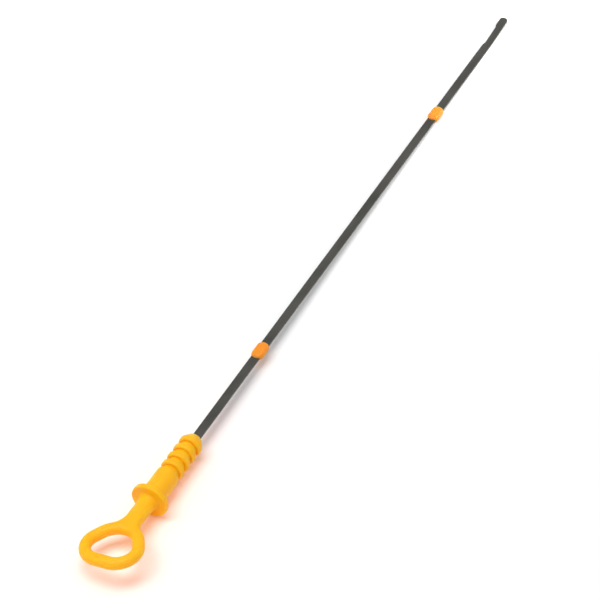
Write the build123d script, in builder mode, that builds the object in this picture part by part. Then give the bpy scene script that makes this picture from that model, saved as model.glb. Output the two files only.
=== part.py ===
from build123d import *

import os
from math import asin, atan2, cos, degrees, hypot, isclose, radians, sin

# Engine oil dipstick, lying on a flat surface. Millimetres, +Z up. The origin is the middle of the
# flange's seat, where the stopper enters the dipstick tube. +X runs along the stick to the blade's tip.

# Flange that closes the tube's mouth
FLANGE_DIAMETER = 23.0
FLANGE_THICKNESS = 3.5
FLANGE_EDGE_RADIUS = 0.9

# Ribbed stopper that plugs the tube
STOPPER_DIAMETER = 14.4
PLAIN_LENGTH = 19.8
RIB_COUNT = 4
RIB_LENGTH = 4.0
LAST_RIB_LENGTH = 3.2
RIB_EDGE_RADIUS = 1.2
GROOVE_WIDTH = 3.0
GROOVE_DEPTH = 2.1
NOSE_LENGTH = 5.0
NOSE_DIAMETER = 8.4
NOSE_EDGE_RADIUS = 1.0

# Finger loop, a rounded triangle, and the neck that joins it to the flange
LOOP_HOLE_INRADIUS = 10.25
LOOP_HOLE_CORNER_RADIUS = 7.5
LOOP_HOLE_APEX_POINT = 0.4
LOOP_BAR_WIDTH = 7.4
LOOP_BAR_CORNER_EASE = 0.5
LOOP_END_EXTRA_WIDTH = 0.2
LOOP_THICKNESS = 6.9
LOOP_EDGE_RADIUS = 3.2
LOOP_ROLL_DEG = 9.4
LOOP_RAISE_DEG = 4.3
LOOP_SWING_DEG = 1.2
NECK_LENGTH = 21.6
NECK_WIDTH = 10.9
NECK_FLARE_RADIUS = 11.0
NECK_ROOT_DIAMETER = 12.7
NECK_ROOT_RADIUS = 1.4

# Steel blade with an oil level notch in one edge and a tip bent slightly up
BLADE_WIDTH = 5.5
BLADE_THICKNESS = 1.0
BLADE_SEAT_DEPTH = 30.0
BLADE_REACH = 450.5
TIP_LENGTH = 24.0
TIP_BEND_DEG = 5.0
TIP_BEND_RADIUS = 60.0
TIP_CORNER_RADIUS = 2.4
NOTCH_DEPTH = 0.75
NOTCH_LENGTH = 22.0
NOTCH_RAMP = 2.0
NOTCH_FROM_TIP = 9.4

# Guide beads moulded on the blade
BEAD_LENGTH = 14.2
BEAD_WIDTH = 7.9
BEAD_THICKNESS = 4.4
BEAD_EDGE_RADIUS = 2.0
UPPER_BEAD_FROM_NOSE = 81.8
BEAD_SPACING = 253.3

# Stations along the stick, measured from the seat towards the tip
groove_starts = [PLAIN_LENGTH + k * (GROOVE_WIDTH + RIB_LENGTH) for k in range(RIB_COUNT)]
nose_start = groove_starts[-1] + GROOVE_WIDTH + LAST_RIB_LENGTH
nose_end = nose_start + NOSE_LENGTH
blade_root = nose_end - BLADE_SEAT_DEPTH
tip_end = nose_end + BLADE_REACH
bend_start = tip_end - TIP_LENGTH - TIP_BEND_RADIUS * radians(TIP_BEND_DEG)
upper_bead = nose_end + UPPER_BEAD_FROM_NOSE
lower_bead = upper_bead + BEAD_SPACING

# Loop outline: the bar follows the hole, with one corner towards the neck and more width at the far end
hole_apex_radius = LOOP_HOLE_INRADIUS - LOOP_HOLE_APEX_POINT
loop_apex = 2 * LOOP_HOLE_INRADIUS - hole_apex_radius + LOOP_BAR_WIDTH
loop_centre = -(FLANGE_THICKNESS + NECK_LENGTH + loop_apex)
neck_root = LOOP_EDGE_RADIUS


def rest_slope(station, height, radius):
    """Slope of a surface against the stick, touching the flange's rim and a far support.

    The far support is round: its centre is a height above the stick's axis at one station.
    """
    run = station + FLANGE_EDGE_RADIUS
    rise = height + FLANGE_DIAMETER / 2 - FLANGE_EDGE_RADIUS
    return atan2(rise, run) - asin((radius - FLANGE_EDGE_RADIUS) / hypot(run, rise))


# The stick rests on the flange's rim and on the blade's bend, or on the lower bead if that is thicker
bend_slope = rest_slope(bend_start, TIP_BEND_RADIUS - BLADE_THICKNESS / 2, TIP_BEND_RADIUS)
bead_slope = rest_slope(
    lower_bead + BEAD_LENGTH / 2 - BEAD_EDGE_RADIUS,
    BEAD_EDGE_RADIUS - BEAD_THICKNESS / 2,
    BEAD_EDGE_RADIUS,
)
slope = min(bend_slope, bead_slope)
stick_direction = (cos(slope), 0, -sin(slope))
flat_plane = Plane(origin=(0, 0, 0), x_dir=stick_direction, z_dir=(sin(slope), 0, cos(slope)))
side_plane = Plane(origin=(0, 0, 0), x_dir=stick_direction, z_dir=(0, -1, 0))
seat_plane = Plane(origin=(0, 0, 0), x_dir=(0, 1, 0), z_dir=stick_direction)
stick_axis = Axis((0, 0, 0), stick_direction)
loop_plane = flat_plane.rotated((-LOOP_ROLL_DEG, LOOP_RAISE_DEG, LOOP_SWING_DEG))
strip_normal = Axis((0, 0, 0), flat_plane.z_dir)
loop_normal = Axis((0, 0, 0), loop_plane.z_dir)
neck_plane = Plane(origin=(0, 0, 0), z_dir=-loop_plane.x_dir)


def rounded_triangle(centre, inradius, corner_radius, apex_radius):
    """Plan in the loop's own plane, with one corner towards the neck and every corner rounded."""
    with BuildSketch(loop_plane) as triangle:
        with Locations((centre, 0)):
            RegularPolygon(inradius, 3, major_radius=False)
        fillet(triangle.vertices().sort_by(Axis.X)[-1], apex_radius)
        fillet(triangle.vertices().group_by(Axis.X)[0], corner_radius)
    return triangle


# Plan of the finger hole, and of the loop around it with the neck flared into it
finger_hole = rounded_triangle(loop_centre, LOOP_HOLE_INRADIUS, LOOP_HOLE_CORNER_RADIUS, hole_apex_radius)
loop_outside = rounded_triangle(
    loop_centre - LOOP_END_EXTRA_WIDTH,
    LOOP_HOLE_INRADIUS + LOOP_BAR_WIDTH,
    LOOP_HOLE_CORNER_RADIUS + LOOP_BAR_WIDTH + LOOP_BAR_CORNER_EASE,
    hole_apex_radius + LOOP_BAR_WIDTH,
)
with BuildSketch(loop_plane) as loop_plan:
    add(loop_outside.sketch_local)
    with Locations((neck_root, 0)):
        Rectangle(neck_root - loop_centre, NECK_WIDTH, align=(Align.MAX, Align.CENTER))
    fillet(loop_plan.vertices().group_by(Axis.X)[-2], NECK_FLARE_RADIUS)

# Round-edged loop and neck
with BuildPart() as finger_loop:
    extrude(loop_plan.sketch, amount=LOOP_THICKNESS / 2, both=True)
    extrude(finger_hole.sketch, amount=LOOP_THICKNESS, both=True, mode=Mode.SUBTRACT)
    loop_faces = finger_loop.faces().sort_by(loop_normal)
    fillet(loop_faces[0].edges() + loop_faces[-1].edges(), LOOP_EDGE_RADIUS)

# Handle: loop, neck, flange and ribbed stopper in one moulding
with BuildPart() as handle:
    with BuildSketch(seat_plane):
        Circle(FLANGE_DIAMETER / 2)
    extrude(amount=-FLANGE_THICKNESS)
    fillet(handle.edges().filter_by(GeomType.CIRCLE), FLANGE_EDGE_RADIUS)

    with BuildSketch(seat_plane):
        Circle(STOPPER_DIAMETER / 2)
    extrude(amount=nose_start)
    with Locations(seat_plane.offset(nose_start).location):
        Cone(
            STOPPER_DIAMETER / 2,
            NOSE_DIAMETER / 2,
            NOSE_LENGTH,
            align=(Align.CENTER, Align.CENTER, Align.MIN),
        )
    for start in groove_starts:
        with BuildSketch(seat_plane.offset(start)):
            Circle(STOPPER_DIAMETER / 2)
            Circle(STOPPER_DIAMETER / 2 - GROOVE_DEPTH, mode=Mode.SUBTRACT)
        extrude(amount=GROOVE_WIDTH, mode=Mode.SUBTRACT)
    stopper_rims = handle.edges().filter_by(
        lambda edge: edge.geom_type == GeomType.CIRCLE and isclose(edge.radius, STOPPER_DIAMETER / 2)
    )
    fillet(stopper_rims.sort_by(stick_axis)[1:], RIB_EDGE_RADIUS)
    nose_face = handle.faces().sort_by(stick_axis)[-1]
    fillet(nose_face.edges(), NOSE_EDGE_RADIUS)

    with Locations(neck_plane.location):
        Cone(
            NECK_ROOT_DIAMETER / 2,
            LOOP_EDGE_RADIUS,
            FLANGE_THICKNESS + NECK_LENGTH,
            align=(Align.CENTER, Align.CENTER, Align.MIN),
        )
    add(finger_loop.part)
    flange_face = handle.faces().filter_by(stick_axis).sort_by(stick_axis)[0]
    fillet(flange_face.inner_wires()[0].edges(), NECK_ROOT_RADIUS)

    with BuildSketch(seat_plane.offset(nose_end)):
        Rectangle(BLADE_WIDTH, BLADE_THICKNESS)
    extrude(amount=-BLADE_SEAT_DEPTH, mode=Mode.SUBTRACT)

# Blade: one flat strip with its tip bent up, a notch in one edge and round corners at the tip
with BuildPart() as blade:
    with BuildSketch(side_plane):
        with BuildLine():
            shank = Line((blade_root, -BLADE_THICKNESS / 2), (bend_start, -BLADE_THICKNESS / 2))
            bend = JernArc(shank @ 1, shank % 1, TIP_BEND_RADIUS, TIP_BEND_DEG)
            Line(bend @ 1, bend @ 1 + (bend % 1) * TIP_LENGTH)
            offset(amount=BLADE_THICKNESS, side=Side.LEFT)
        make_face()
    extrude(amount=BLADE_WIDTH / 2, both=True)
    tip_face = blade.faces().sort_by(stick_axis)[-1]
    fillet(tip_face.edges().sort_by(SortBy.LENGTH)[:2], TIP_CORNER_RADIUS)

    with BuildSketch(flat_plane):
        with Locations((tip_end - NOTCH_FROM_TIP - NOTCH_LENGTH / 2, BLADE_WIDTH / 2)):
            Trapezoid(
                NOTCH_LENGTH,
                NOTCH_DEPTH,
                degrees(atan2(NOTCH_DEPTH, NOTCH_RAMP)),
                rotation=180,
                align=(Align.CENTER, Align.MIN),
            )
    extrude(amount=TIP_LENGTH, both=True, mode=Mode.SUBTRACT)


def guide_bead(station):
    """Oval bead with round edges, moulded around the strip at one station."""
    with BuildPart() as bead:
        with BuildSketch(flat_plane):
            with Locations((station, 0)):
                SlotOverall(BEAD_LENGTH, BEAD_WIDTH)
        extrude(amount=BEAD_THICKNESS / 2, both=True)
        bead_faces = bead.faces().sort_by(strip_normal)
        fillet(bead_faces[0].edges() + bead_faces[-1].edges(), BEAD_EDGE_RADIUS)
        with BuildSketch(seat_plane.offset(station)):
            Rectangle(BLADE_WIDTH, BLADE_THICKNESS)
        extrude(amount=BEAD_LENGTH, both=True, mode=Mode.SUBTRACT)
    return bead.part


os.makedirs("parts", exist_ok=True)
pieces = {
    "handle": handle.part,
    "blade": blade.part,
    "upper_guide_bead": guide_bead(upper_bead),
    "lower_guide_bead": guide_bead(lower_bead),
}
for name, piece in pieces.items():
    piece.label = name
    export_step(piece, f"parts/{name}.step")
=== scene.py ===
from math import radians

import bmesh
import bpy
from mathutils import Matrix, Vector


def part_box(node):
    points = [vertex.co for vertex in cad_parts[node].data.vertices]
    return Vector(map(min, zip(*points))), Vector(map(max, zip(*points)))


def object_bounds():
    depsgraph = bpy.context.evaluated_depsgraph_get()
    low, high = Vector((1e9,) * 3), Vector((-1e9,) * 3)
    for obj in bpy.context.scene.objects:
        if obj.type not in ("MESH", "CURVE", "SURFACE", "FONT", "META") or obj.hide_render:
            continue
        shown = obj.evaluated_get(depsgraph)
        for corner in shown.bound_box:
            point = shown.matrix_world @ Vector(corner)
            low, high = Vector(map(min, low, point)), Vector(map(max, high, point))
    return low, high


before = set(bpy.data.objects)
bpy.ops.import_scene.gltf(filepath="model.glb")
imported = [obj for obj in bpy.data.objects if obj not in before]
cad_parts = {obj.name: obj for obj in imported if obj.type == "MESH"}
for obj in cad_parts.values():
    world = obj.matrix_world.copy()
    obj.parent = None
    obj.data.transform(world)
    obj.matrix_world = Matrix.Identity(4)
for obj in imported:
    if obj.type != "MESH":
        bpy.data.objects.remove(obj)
cad_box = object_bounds()

# Camera, from behind the loop and above it, with a long lens
CAMERA_PLACE = Vector((-0.78731, -0.49921, 1.10083))
CAMERA_AIM = Vector((0.19094, 0.00210, -0.01128))
CAMERA_LENS_MM = 150.0
CAMERA_SENSOR_MM = 36.0

# Studio: white paper in an even white room under a long softbox. A warm spot tints only the paper around
# the handle, in place of light through its plastic, and a plain one lifts the shadow under the blade's tip.
FLOOR_SIDE = 12.0
ROOM_COLOUR = (1.0, 1.0, 1.0, 1.0)
ROOM_BRIGHTNESS = 0.47
SOFTBOX_WIDTH = 2.6
SOFTBOX_LENGTH = 5.0
SOFTBOX_POWER = 212.0
SOFTBOX_PLACE = Vector((-0.62, 0.74, 5.00))
SOFTBOX_AIM = Vector((0.10, 0.0, 0.0))
SPOT_RADIUS = 0.08
WARM_SPOT_COLOUR = (1.0, 0.20, 0.04)
WARM_SPOT_POWER = 32.0
WARM_SPOT_CONE_DEG = 9.5
WARM_SPOT_PLACE = Vector((-0.45, -0.35, 0.55))
WARM_SPOT_AIM = Vector((-0.030, -0.014, -0.01))
TIP_SPOT_COLOUR = (1.0, 1.0, 1.0)
TIP_SPOT_POWER = 17.0
TIP_SPOT_CONE_DEG = 38.0
TIP_SPOT_PLACE = Vector((0.78, -0.42, 0.40))
TIP_SPOT_AIM = Vector((0.43, 0.0, -0.01))

# Half the width of the steel strip, read from the blade itself
blade_low, blade_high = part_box("blade")
BLADE_HALF_WIDTH = (blade_high.y - blade_low.y) / 2

# Finishes: scales are in features per metre, depths in metres, and a span is where a noise is cut off
MIDDLE_SPAN = (0.3, 0.7)
WIDE_SPAN = (0.25, 0.75)

# Moulded plastic
HANDLE_COLOUR = (0.93, 0.505, 0.006)
HANDLE_DEEP_COLOUR = (0.91, 0.475, 0.005)
HANDLE_GLOW_DEPTH = 0.006
BEAD_COLOUR = (0.86, 0.30, 0.020)
BEAD_DEEP_COLOUR = (0.83, 0.275, 0.017)
BEAD_GLOW_DEPTH = 0.002
GLOW_SHARE = 0.8
GLOW_SPREAD = (1.0, 0.3, 0.05)
PLASTIC_IOR = 1.49
PLASTIC_GLOSS = 0.3
PLASTIC_ROUGHNESS = (0.40, 0.52)
PLASTIC_CLOUD_SCALE = 70.0
PLASTIC_WIPE_SCALE = 260.0
SINK_SCALE = 90.0
SINK_DEPTH = 0.00012
GRAIN_SCALE = 3600.0
GRAIN_DEPTH = 0.000012

# Steel strip
DARK_OXIDE = (0.084, 0.082, 0.073)
PALE_OXIDE = (0.116, 0.113, 0.102)
WORN_STEEL = (0.24, 0.235, 0.22)
STEEL_METALLIC = 0.85
STEEL_IOR = 1.5
STEEL_ROUGHNESS = (0.40, 0.56)
OXIDE_PATCH_SCALE = 90.0
OXIDE_PATCH_STRETCH = (0.35, 1.0, 1.0)
EDGE_WEAR_START = 0.88
EDGE_WEAR_SHARE = 0.6
RUB_SCALE = 220.0
RUB_SPAN = (0.42, 0.68)
ROLLED_LINE_SCALES = (30.0, 3200.0, 3200.0)
ROLLED_LINE_DEPTH = 0.00001
PIT_SCALE = 900.0
PIT_DEPTH = 0.00002

# Studio paper
PAPER_WHITE = (0.90, 0.90, 0.90)
PAPER_BRIGHT_WHITE = (0.91, 0.91, 0.91)
PAPER_ROUGHNESS = 0.9
PAPER_GLOSS = 0.1
PAPER_CLOUD_SCALE = 3.0
PAPER_TOOTH_SCALE = 1500.0
PAPER_TOOTH_DEPTH = 0.00001


class Finish:
    """One procedural material with its shader, built up node by node."""

    def __init__(self, name):
        self.material = bpy.data.materials.new(name)
        self.material.use_nodes = True
        self.tree = self.material.node_tree
        self.shader = self.tree.nodes["Principled BSDF"]
        self.place = self.add("ShaderNodeTexCoord").outputs["Object"]

    def add(self, kind, **settings):
        """A new node of a kind, with its own settings."""
        node = self.tree.nodes.new(kind)
        for name, value in settings.items():
            setattr(node, name, value)
        return node

    def link(self, source, target):
        """Feeds an output socket into an input socket."""
        self.tree.links.new(source, target)

    def drive(self, name, source):
        """Feeds an output socket into one of the shader's own sockets."""
        self.link(source, self.shader.inputs[name])

    def set(self, **values):
        """Sets the shader's own sockets, each named with its spaces as underscores."""
        for name, value in values.items():
            self.shader.inputs[name.replace("_", " ")].default_value = value

    def stretched(self, stretch):
        """The object's own coordinates, scaled on each axis."""
        mapping = self.add("ShaderNodeMapping")
        mapping.inputs["Scale"].default_value = stretch
        self.link(self.place, mapping.inputs["Vector"])
        return mapping.outputs["Vector"]

    def noise(self, scale, detail=2.0, roughness=0.5, stretch=None):
        """Cloudy noise, with its scale in features per metre."""
        texture = self.add("ShaderNodeTexNoise")
        texture.inputs["Scale"].default_value = scale
        texture.inputs["Detail"].default_value = detail
        texture.inputs["Roughness"].default_value = roughness
        vector = self.place if stretch is None else self.stretched(stretch)
        self.link(vector, texture.inputs["Vector"])
        return texture.outputs["Fac"]

    def ramp(self, value, low, high, to_low=0.0, to_high=1.0):
        """A value mapped from one span to another, smooth at both ends."""
        node = self.add("ShaderNodeMapRange", interpolation_type="SMOOTHSTEP")
        node.inputs["From Min"].default_value = low
        node.inputs["From Max"].default_value = high
        node.inputs["To Min"].default_value = to_low
        node.inputs["To Max"].default_value = to_high
        self.link(value, node.inputs["Value"])
        return node.outputs["Result"]

    def math(self, operation, first, second=None):
        """One sum on sockets or plain numbers."""
        node = self.add("ShaderNodeMath", operation=operation)
        for socket, value in zip(node.inputs, (first, second)):
            if isinstance(value, (int, float)):
                socket.default_value = value
            elif value is not None:
                self.link(value, socket)
        return node.outputs["Value"]

    def blend(self, factor, first, second):
        """A colour between two others, which are plain colours or sockets."""
        node = self.add("ShaderNodeMix", data_type="RGBA")
        self.link(factor, node.inputs["Factor"])
        for name, colour in (("A", first), ("B", second)):
            socket = [s for s in node.inputs if s.name == name and s.type == "RGBA"][0]
            if isinstance(colour, tuple):
                socket.default_value = (*colour, 1.0)
            else:
                self.link(colour, socket)
        return [s for s in node.outputs if s.type == "RGBA"][0]

    def bump(self, height, depth, below=None):
        """Relief of a depth in metres, laid over another relief if one is given."""
        node = self.add("ShaderNodeBump")
        node.inputs["Strength"].default_value = 1.0
        node.inputs["Distance"].default_value = depth
        self.link(height, node.inputs["Height"])
        if below is not None:
            self.link(below, node.inputs["Normal"])
        return node.outputs["Normal"]


def moulded_plastic(name, colour, deep_colour, glow_depth):
    """Satin injection-moulded plastic that lets light in to a depth in metres."""
    finish = Finish(name)
    cloud = finish.ramp(finish.noise(PLASTIC_CLOUD_SCALE, detail=3.0), *MIDDLE_SPAN)
    finish.drive("Base Color", finish.blend(cloud, colour, deep_colour))
    wipe = finish.noise(PLASTIC_WIPE_SCALE, detail=4.0, roughness=0.6)
    finish.drive("Roughness", finish.ramp(wipe, *WIDE_SPAN, *PLASTIC_ROUGHNESS))
    sink = finish.bump(finish.noise(SINK_SCALE, detail=1.0), SINK_DEPTH)
    finish.drive("Normal", finish.bump(finish.noise(GRAIN_SCALE), GRAIN_DEPTH, sink))
    finish.set(IOR=PLASTIC_IOR, Specular_IOR_Level=PLASTIC_GLOSS)
    finish.set(Subsurface_Weight=GLOW_SHARE, Subsurface_Scale=glow_depth, Subsurface_Radius=GLOW_SPREAD)
    return finish.material


def blade_steel():
    """Dark oxide on rolled steel strip: fine lines along the strip, and edges worn a little bright."""
    finish = Finish("blade_steel")
    cloud = finish.noise(OXIDE_PATCH_SCALE, detail=4.0, roughness=0.6, stretch=OXIDE_PATCH_STRETCH)
    oxide = finish.blend(finish.ramp(cloud, *MIDDLE_SPAN), DARK_OXIDE, PALE_OXIDE)
    across = finish.add("ShaderNodeSeparateXYZ")
    finish.link(finish.place, across.inputs["Vector"])
    from_middle = finish.math("ABSOLUTE", across.outputs["Y"])
    edge = finish.ramp(from_middle, EDGE_WEAR_START * BLADE_HALF_WIDTH, BLADE_HALF_WIDTH)
    rub = finish.ramp(finish.noise(RUB_SCALE, detail=5.0, roughness=0.7), *RUB_SPAN)
    worn = finish.math("MULTIPLY", finish.math("MULTIPLY", edge, rub), EDGE_WEAR_SHARE)
    finish.drive("Base Color", finish.blend(worn, oxide, WORN_STEEL))
    lines = finish.noise(1.0, detail=3.0, roughness=0.6, stretch=ROLLED_LINE_SCALES)
    finish.drive("Roughness", finish.ramp(lines, *WIDE_SPAN, *STEEL_ROUGHNESS))
    pits = finish.bump(finish.noise(PIT_SCALE, detail=3.0, roughness=0.6), PIT_DEPTH)
    finish.drive("Normal", finish.bump(lines, ROLLED_LINE_DEPTH, pits))
    finish.set(Metallic=STEEL_METALLIC, IOR=STEEL_IOR)
    return finish.material


def floor_paper():
    """White studio paper with a faint tooth."""
    finish = Finish("studio_paper")
    cloud = finish.ramp(finish.noise(PAPER_CLOUD_SCALE), *MIDDLE_SPAN)
    finish.drive("Base Color", finish.blend(cloud, PAPER_WHITE, PAPER_BRIGHT_WHITE))
    finish.drive("Normal", finish.bump(finish.noise(PAPER_TOOTH_SCALE), PAPER_TOOTH_DEPTH))
    finish.set(Roughness=PAPER_ROUGHNESS, Specular_IOR_Level=PAPER_GLOSS)
    return finish.material


def dress(node, material):
    """Gives a piece of the frame its finish."""
    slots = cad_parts[node].data.materials
    slots.clear()
    slots.append(material)


def aim(thing, place, target):
    """Puts a camera or a light at a place, looking at a target."""
    thing.location = place
    thing.rotation_euler = (target - place).to_track_quat("-Z", "Y").to_euler()


def add_floor():
    """A flat sheet under the stick, at its lowest point."""
    low = Matrix.Translation((0.0, 0.0, cad_box[0][2]))
    sheet = bmesh.new()
    bmesh.ops.create_grid(sheet, x_segments=1, y_segments=1, size=FLOOR_SIDE / 2, matrix=low)
    mesh = bpy.data.meshes.new("studio_floor")
    sheet.to_mesh(mesh)
    sheet.free()
    mesh.materials.append(floor_paper())
    floor = bpy.data.objects.new("studio_floor", mesh)
    bpy.context.scene.collection.objects.link(floor)
    return floor


def add_light(kind, name, place, target, **settings):
    """A light with its power in watts, aimed at a target."""
    light = bpy.data.lights.new(name, kind)
    for setting, value in settings.items():
        setattr(light, setting, value)
    lamp = bpy.data.objects.new(name, light)
    bpy.context.scene.collection.objects.link(lamp)
    aim(lamp, place, target)
    return lamp


def add_spot(name, colour, power, cone_deg, place, target):
    """A small round light with a soft-edged cone."""
    return add_light(
        "SPOT",
        name,
        place,
        target,
        color=colour,
        energy=power,
        spot_size=radians(cone_deg),
        spot_blend=1.0,
        shadow_soft_size=SPOT_RADIUS,
    )


def add_room():
    """Even white light from all around."""
    room = bpy.data.worlds.new("white_room")
    room.use_nodes = True
    background = room.node_tree.nodes["Background"]
    background.inputs["Color"].default_value = ROOM_COLOUR
    background.inputs["Strength"].default_value = ROOM_BRIGHTNESS
    bpy.context.scene.world = room


def add_camera():
    """The camera of the main view."""
    lens = bpy.data.cameras.new("camera")
    lens.lens = CAMERA_LENS_MM
    lens.sensor_width = CAMERA_SENSOR_MM
    camera = bpy.data.objects.new("camera", lens)
    bpy.context.scene.collection.objects.link(camera)
    aim(camera, CAMERA_PLACE, CAMERA_AIM)
    bpy.context.scene.camera = camera


dress("handle", moulded_plastic("handle_plastic", HANDLE_COLOUR, HANDLE_DEEP_COLOUR, HANDLE_GLOW_DEPTH))
dress("blade", blade_steel())
bead_plastic = moulded_plastic("bead_plastic", BEAD_COLOUR, BEAD_DEEP_COLOUR, BEAD_GLOW_DEPTH)
for bead in ("upper_guide_bead", "lower_guide_bead"):
    dress(bead, bead_plastic)

paper = bpy.data.collections.new("paper")
paper.objects.link(add_floor())
add_light(
    "AREA",
    "overhead_softbox",
    SOFTBOX_PLACE,
    SOFTBOX_AIM,
    shape="RECTANGLE",
    size=SOFTBOX_WIDTH,
    size_y=SOFTBOX_LENGTH,
    energy=SOFTBOX_POWER,
)
warm_spot = add_spot(
    "warm_spot", WARM_SPOT_COLOUR, WARM_SPOT_POWER, WARM_SPOT_CONE_DEG, WARM_SPOT_PLACE, WARM_SPOT_AIM
)
warm_spot.light_linking.receiver_collection = paper
warm_spot.light_linking.blocker_collection = paper
add_spot("tip_spot", TIP_SPOT_COLOUR, TIP_SPOT_POWER, TIP_SPOT_CONE_DEG, TIP_SPOT_PLACE, TIP_SPOT_AIM)
add_room()
add_camera()
bpy.context.scene.view_settings.view_transform = "Standard"
